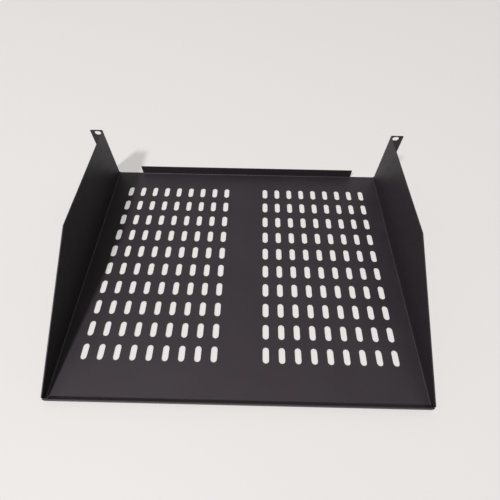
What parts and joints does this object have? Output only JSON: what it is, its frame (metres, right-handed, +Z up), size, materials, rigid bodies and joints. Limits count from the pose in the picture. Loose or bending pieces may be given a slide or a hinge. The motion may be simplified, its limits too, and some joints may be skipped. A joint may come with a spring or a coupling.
{
  "type": "cantilever rack shelf",
  "caption": "Vented cantilever rack shelf folded from one steel sheet, with tapering side walls, slotted mounting ears, a front lip and a low lip across the free end.",
  "frame": {"origin": "on the underside of the deck, under the middle of the shelf's overall length and width", "axes": "+Z up; +X across the rack, from ear to ear; -Y is the front, where the ears meet the rack's rails, and +Y the low free end inside the rack"},
  "size_m": [0.4826, 0.373, 0.0881],
  "materials": {
    "powder_coat": "matt black textured powder coat on folded steel sheet"
  },
  "bodies": {
    "root": {"shelf": "powder_coat"}
  },
  "joints": []
}
